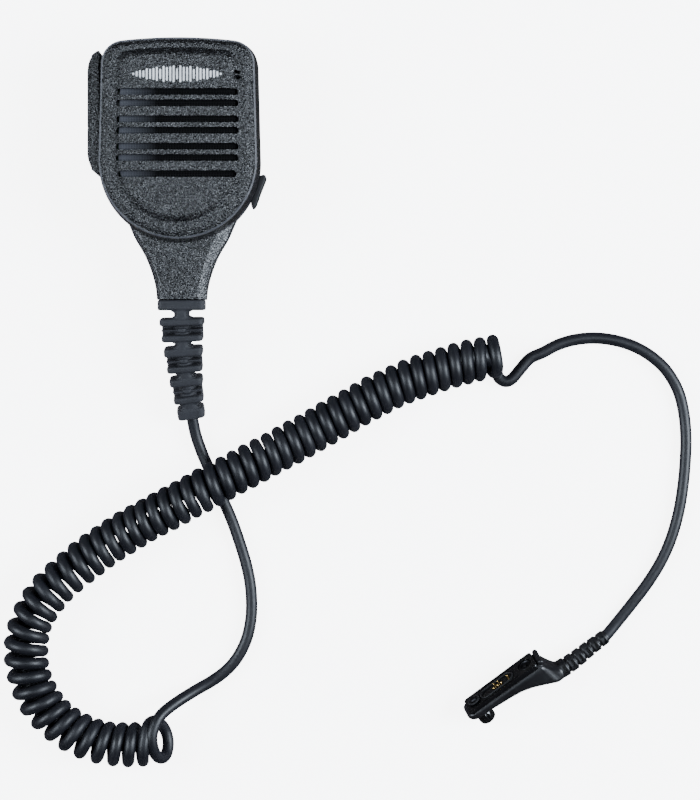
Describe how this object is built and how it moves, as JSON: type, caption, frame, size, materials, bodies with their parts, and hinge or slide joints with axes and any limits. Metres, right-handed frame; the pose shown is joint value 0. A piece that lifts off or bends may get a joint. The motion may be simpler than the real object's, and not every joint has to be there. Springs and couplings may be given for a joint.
{
  "type": "hand microphone",
  "caption": "Speaker microphone with a side talk bar, swivel belt clip, long curly cord and a flat side connector held by a thumb screw.",
  "frame": {"origin": "bottom centre of the head's box, on the surface that its belt clip lies on", "axes": "+Y from the cord to the top of the head, +Z out of the speaker grille, +X to the right seen from the front, the talk bar being on the left"},
  "size_m": [0.2633, 0.2759, 0.0335],
  "materials": {
    "shell": "coarse spark-eroded texture, black",
    "soft_rubber": "matte moulded",
    "cord_jacket": "satin polyurethane",
    "plug_plastic": "fine satin to gloss",
    "clip_plastic": "smooth",
    "steel": "plated",
    "contact_gold": "gold plated",
    "board": "solder mask",
    "cone_paper": "treated paper",
    "foam": "fine cloth"
  },
  "bodies": {
    "root": {"antenna_contact": "contact_gold", "cable_boot": "soft_rubber", "cable_clamp": "steel", "circuit_board": "board", "clamp_screw_1": "steel", "clamp_screw_2": "steel", "clip_screw": "steel", "contact_block": "plug_plastic", "contact_seal": "soft_rubber", "cord_coil": "cord_jacket", "cord_inner_end": "cord_jacket", "cord_lead": "cord_jacket", "cord_tail": "cord_jacket", "earphone_jack": "clip_plastic", "front_housing": "shell", "grille_cloth": "foam", "housing_gasket": "soft_rubber", "housing_screw_1": "steel", "housing_screw_2": "steel", "housing_screw_3": "steel", "housing_screw_4": "steel", "microphone_boot": "soft_rubber", "microphone_capsule": "steel", "plug_body": "plug_plastic", "plug_boot": "soft_rubber", "ptt_rim": "soft_rubber", "ptt_switch": "clip_plastic", "rear_housing": "shell", "speaker_frame": "steel", "speaker_gasket": "foam", "speaker_magnet": "steel"},
    "talk_bar": {"ptt_bar": "soft_rubber"},
    "plunger": {"switch_plunger": "clip_plastic"},
    "cover": {"jack_cover": "soft_rubber"},
    "cone": {"speaker_cone": "cone_paper"},
    "clip": {"clip_base": "steel", "clip_pin": "steel", "clip_spring": "steel"},
    "lever": {"clip_lever": "clip_plastic"},
    "knob": {"thumb_screw": "plug_plastic", "screw_ring": "steel"},
    "pin_1": {"contact_pin_1": "contact_gold"},
    "pin_2": {"contact_pin_2": "contact_gold"},
    "pin_3": {"contact_pin_3": "contact_gold"},
    "pin_4": {"contact_pin_4": "contact_gold"},
    "pin_5": {"contact_pin_5": "contact_gold"},
    "pin_6": {"contact_pin_6": "contact_gold"}
  },
  "joints": [
    {"name": "ptt_press", "type": "slide", "parent": "root", "child": "talk_bar", "axis": [1, 0, 0], "range_m": [0, 0.0012], "stiffness_N_per_m": 250, "springref_m": -0.002},
    {"name": "plunger_press", "type": "slide", "parent": "root", "child": "plunger", "axis": [1, 0, 0], "range_m": [0, 0.0013]},
    {"name": "jack_cover_open", "type": "hinge", "parent": "root", "child": "cover", "pos_m": [0.03273, -0.00271, 0.0147], "axis": [0, 0, 1], "range_deg": [0, 110]},
    {"name": "speaker_cone_travel", "type": "slide", "parent": "root", "child": "cone", "axis": [0, 0, 1], "range_m": [-0.0004, 0.0004], "stiffness_N_per_m": 60},
    {"name": "clip_swivel", "type": "hinge", "parent": "root", "child": "clip", "pos_m": [0.00067, 0.016, 0.0079], "axis": [0, 0, 1], "continuous": true},
    {"name": "clip_open", "type": "hinge", "parent": "clip", "child": "lever", "pos_m": [0.00067, 0.023, 0.0047], "axis": [1, 0, 0], "range_deg": [0, 22], "stiffness_Nm_per_rad": 0.05, "springref_deg": -28.65},
    {"name": "thumb_screw_turn", "type": "hinge", "parent": "root", "child": "knob", "pos_m": [0.1123, -0.20178, 0.00924], "axis": [-0.5653, 0.6994, 0.4373], "continuous": true},
    {"name": "pin_1_press", "type": "slide", "parent": "root", "child": "pin_1", "axis": [0.5653, -0.6994, -0.4373], "range_m": [0, 0.0008], "stiffness_N_per_m": 12, "springref_m": -0.0004},
    {"name": "pin_2_press", "type": "slide", "parent": "root", "child": "pin_2", "axis": [0.5653, -0.6994, -0.4373], "range_m": [0, 0.0008], "stiffness_N_per_m": 12, "springref_m": -0.0004},
    {"name": "pin_3_press", "type": "slide", "parent": "root", "child": "pin_3", "axis": [0.5653, -0.6994, -0.4373], "range_m": [0, 0.0008], "stiffness_N_per_m": 12, "springref_m": -0.0004},
    {"name": "pin_4_press", "type": "slide", "parent": "root", "child": "pin_4", "axis": [0.5653, -0.6994, -0.4373], "range_m": [0, 0.0008], "stiffness_N_per_m": 12, "springref_m": -0.0004},
    {"name": "pin_5_press", "type": "slide", "parent": "root", "child": "pin_5", "axis": [0.5653, -0.6994, -0.4373], "range_m": [0, 0.0008], "stiffness_N_per_m": 12, "springref_m": -0.0004},
    {"name": "pin_6_press", "type": "slide", "parent": "root", "child": "pin_6", "axis": [0.5653, -0.6994, -0.4373], "range_m": [0, 0.0008], "stiffness_N_per_m": 12, "springref_m": -0.0004}
  ],
  "couplings": [
    {"joint": "plunger_press", "follows": "ptt_press", "ratio": 1}
  ]
}
